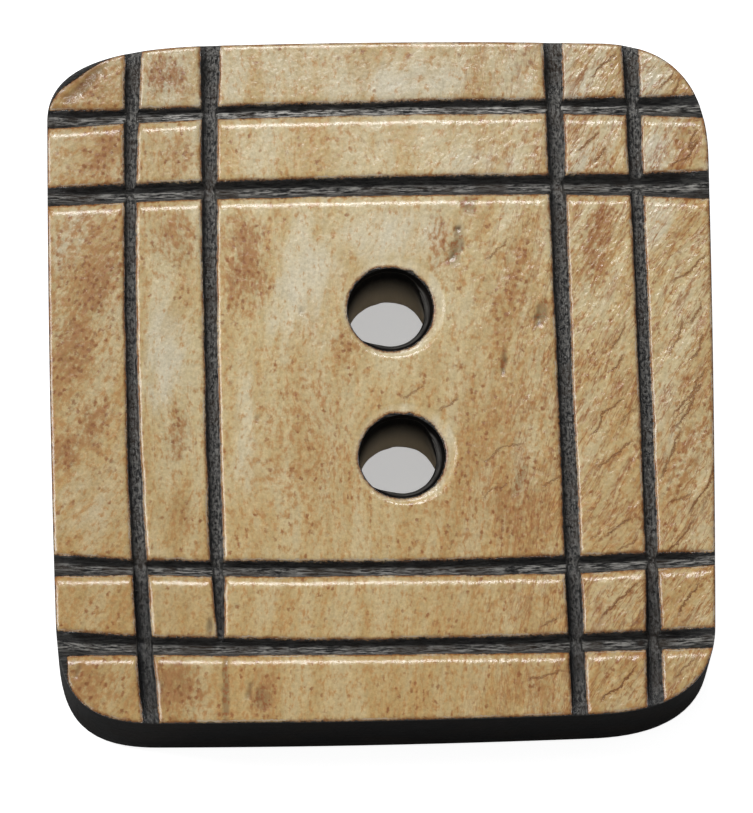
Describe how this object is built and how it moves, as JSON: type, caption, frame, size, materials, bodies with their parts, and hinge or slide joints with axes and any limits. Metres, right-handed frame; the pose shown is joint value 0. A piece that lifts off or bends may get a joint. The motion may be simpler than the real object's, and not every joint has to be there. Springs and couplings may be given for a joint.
{
  "type": "square sewing button",
  "caption": "Flat square bone button with rounded corners, a face carved with crossing dark saw cuts, and thread holes drilled through its middle.",
  "frame": {"origin": "on the flat back, at the middle of the width and the height", "axes": "+Z out of the carved face, +Y along the pair of thread holes towards the button's top edge"},
  "size_m": [0.025, 0.0265, 0.0045],
  "materials": {
    "bone": "polished natural bone on the sanded face, dyed black in the saw cuts, in the holes and on the sides"
  },
  "bodies": {
    "root": {"button": "bone"}
  },
  "joints": []
}
